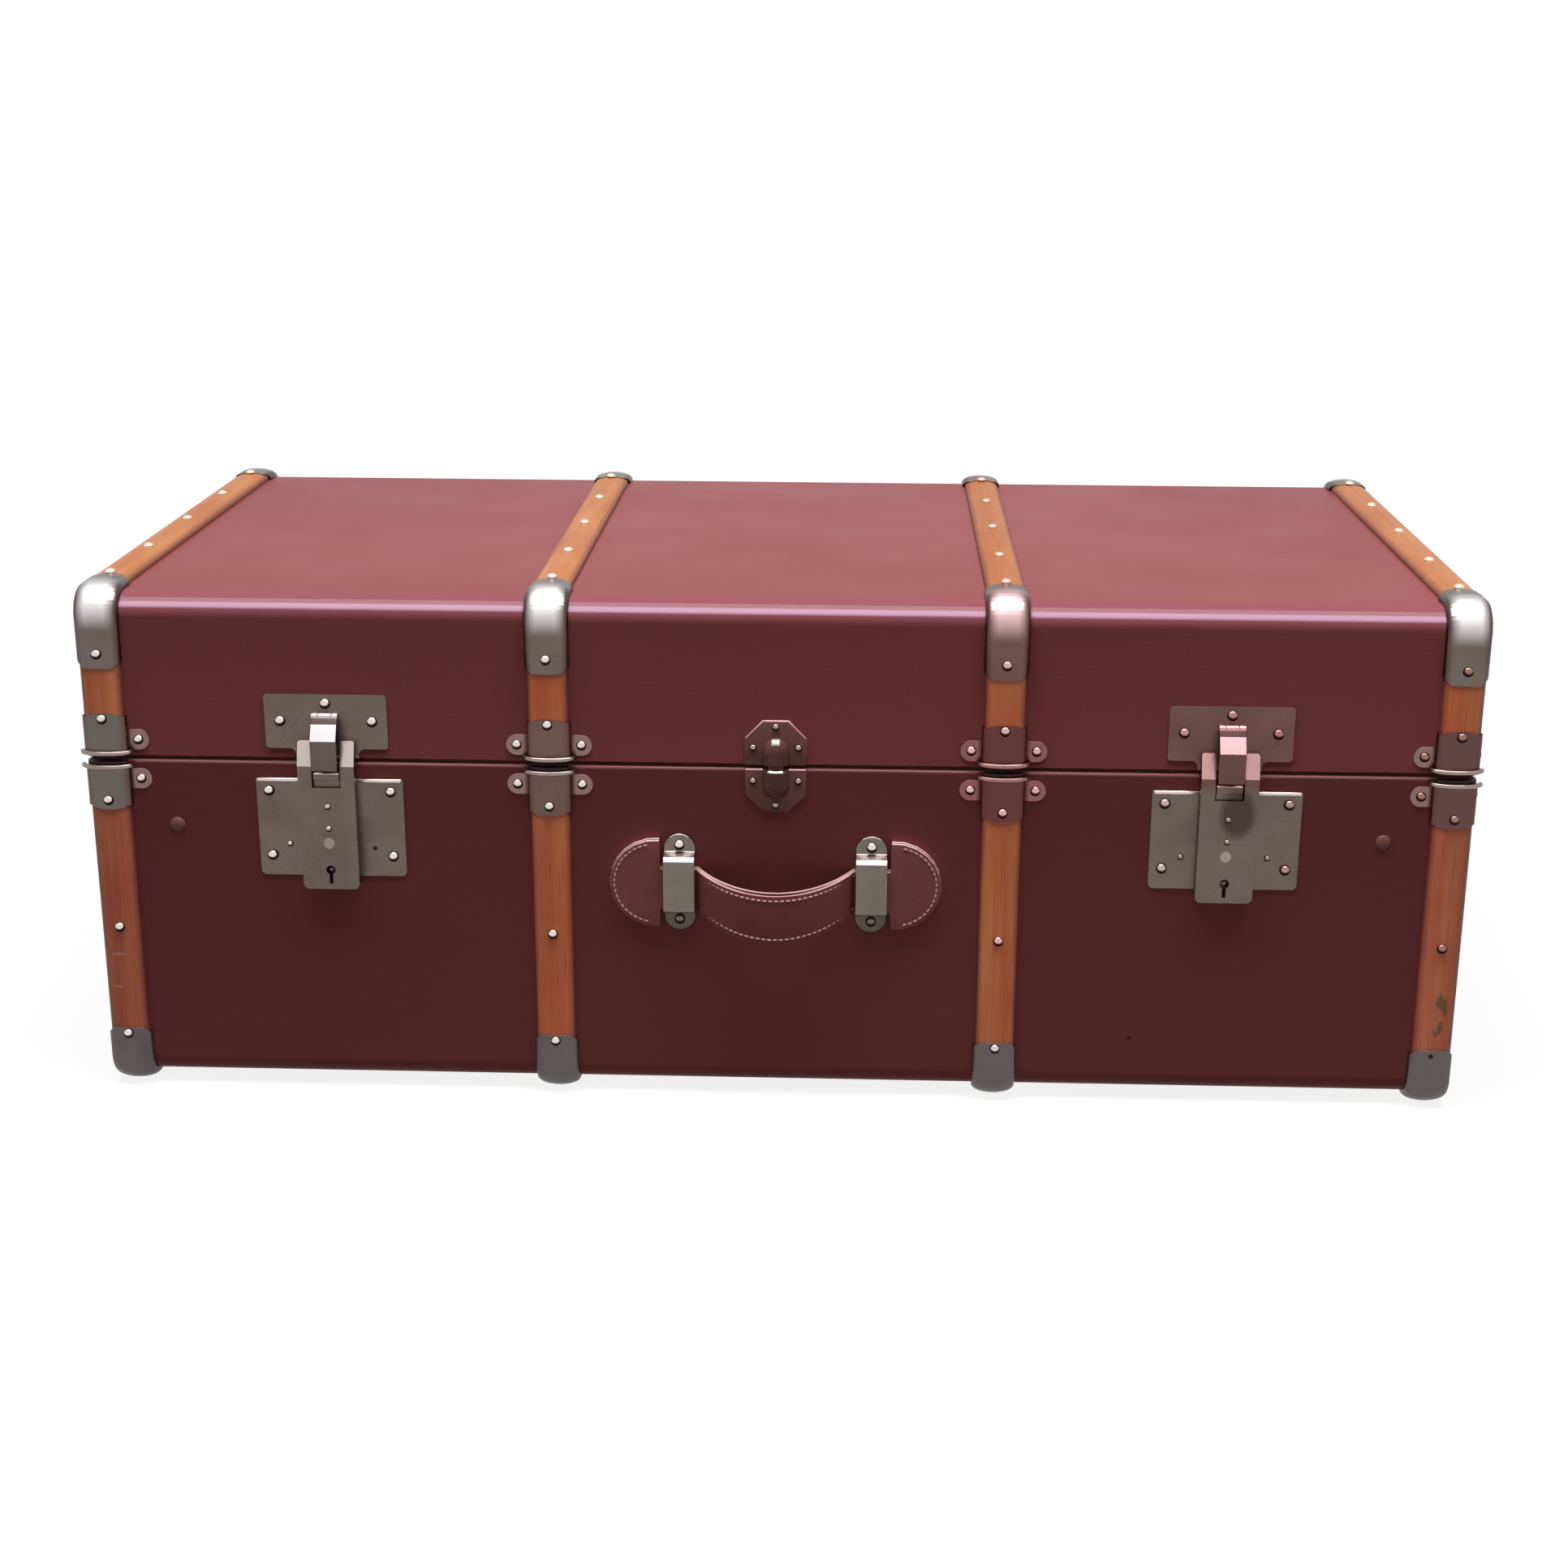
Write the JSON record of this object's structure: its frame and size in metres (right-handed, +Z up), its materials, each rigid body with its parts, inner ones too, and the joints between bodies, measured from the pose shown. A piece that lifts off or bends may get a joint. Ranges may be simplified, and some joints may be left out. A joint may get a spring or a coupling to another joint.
{
  "type": "travel trunk",
  "caption": "Slatted travel trunk with a hinged lid, hasp locks, a centre catch, pressed corner caps, slat clamps and leather handles.",
  "frame": {"origin": "centre of the part's outline in plan, on the floor", "axes": "+X along the trunk's length, +Y from the front with the locks to the hinged back, +Z up"},
  "size_m": [0.9646, 0.4838, 0.348],
  "materials": {
    "ply": "burgundy satin paint on plywood, with fine wear",
    "slat_wood": "oiled ash-like wood, satin",
    "inner_wood": "plain softwood, matt",
    "lining": "plain cloth-faced lining, matt",
    "steel": "pressed sheet steel, warm grey, satin and a little worn",
    "steel_bright": "bright steel wire and small works",
    "painted_steel": "burgundy paint on pressed steel, satin",
    "leather": "burgundy leather, stitched, slightly glossy edges",
    "tape": "woven cotton tape"
  },
  "bodies": {
    "base": {"base_back_caps": "steel", "base_back_clamps": "steel", "base_back_slats": "slat_wood", "base_bottom_slats": "slat_wood", "base_fitting_rivets": "steel", "base_front_caps": "steel", "base_front_clamps": "steel", "base_front_slats": "slat_wood", "base_lining": "lining", "base_shell": "ply", "base_stay_blocks": "inner_wood", "button_spring_left": "steel_bright", "button_spring_right": "steel_bright", "catch_lower": "painted_steel", "end_handle_loops_left": "steel", "end_handle_loops_right": "steel", "end_handle_rivets_left": "steel", "end_handle_rivets_right": "steel", "front_handle_loops": "steel", "front_handle_rivets": "steel", "hinge_base_leaves": "steel", "hinge_pins": "steel_bright", "lid_stay_left": "tape", "lid_stay_right": "tape", "lock_case_left": "steel", "lock_case_right": "steel", "lock_plate_left": "steel", "lock_plate_right": "steel", "tongue_frame": "inner_wood", "tray_rest_rivets": "painted_steel", "tray_rests": "inner_wood"},
    "lid": {"lid_back_caps": "steel", "lid_back_clamps": "steel", "lid_back_slats": "slat_wood", "lid_fitting_rivets": "steel", "lid_front_caps": "steel", "lid_front_clamps": "steel", "lid_front_slats": "slat_wood", "lid_lining": "lining", "lid_shell": "ply", "lid_stay_blocks": "inner_wood", "lid_top_slats": "slat_wood", "hinge_lid_leaves": "steel", "hasp_plate_left": "steel", "hasp_plate_right": "steel", "hasp_pin_left": "steel_bright", "hasp_pin_right": "steel_bright", "catch_upper": "painted_steel"},
    "hasp_left": {"hasp_left": "steel"},
    "hasp_right": {"hasp_right": "steel"},
    "release_button_left": {"release_button_left": "steel"},
    "release_button_right": {"release_button_right": "steel"},
    "key_bolt_left": {"key_bolt_left": "steel_bright"},
    "key_bolt_right": {"key_bolt_right": "steel_bright"},
    "front_handle": {"front_handle": "leather"},
    "end_handle_left": {"end_handle_left": "leather"},
    "end_handle_right": {"end_handle_right": "leather"}
  },
  "joints": [
    {"name": "lid", "type": "hinge", "parent": "base", "child": "lid", "pos_m": [0, 0.2374, 0.2325], "axis": [-1, 0, 0], "range_deg": [0, 100], "deforming": ["lid_stay_left", "lid_stay_right"]},
    {"name": "hasp_left", "type": "hinge", "parent": "lid", "child": "hasp_left", "pos_m": [-0.29175, -0.2134, 0.263], "axis": [-1, 0, 0], "range_deg": [0, 110]},
    {"name": "release_button_left", "type": "slide", "parent": "base", "child": "release_button_left", "axis": [0, 0, -1], "range_m": [0, 0.004], "stiffness_N_per_m": 300, "springref_m": -0.003, "deforming": ["button_spring_left"]},
    {"name": "key_bolt_left", "type": "slide", "parent": "base", "child": "key_bolt_left", "axis": [0, 0, 1], "range_m": [0, 0.005]},
    {"name": "hasp_right", "type": "hinge", "parent": "lid", "child": "hasp_right", "pos_m": [0.29175, -0.2134, 0.263], "axis": [-1, 0, 0], "range_deg": [0, 110]},
    {"name": "release_button_right", "type": "slide", "parent": "base", "child": "release_button_right", "axis": [0, 0, -1], "range_m": [0, 0.004], "stiffness_N_per_m": 300, "springref_m": -0.003, "deforming": ["button_spring_right"]},
    {"name": "key_bolt_right", "type": "slide", "parent": "base", "child": "key_bolt_right", "axis": [0, 0, 1], "range_m": [0, 0.005]},
    {"name": "front_handle", "type": "slide", "parent": "base", "child": "front_handle", "axis": [1, 0, 0], "range_m": [-0.0017, 0.0017]},
    {"name": "end_handle_left", "type": "slide", "parent": "base", "child": "end_handle_left", "axis": [0, 1, 0], "range_m": [-0.0017, 0.0017]},
    {"name": "end_handle_right", "type": "slide", "parent": "base", "child": "end_handle_right", "axis": [0, 1, 0], "range_m": [-0.0017, 0.0017]}
  ]
}
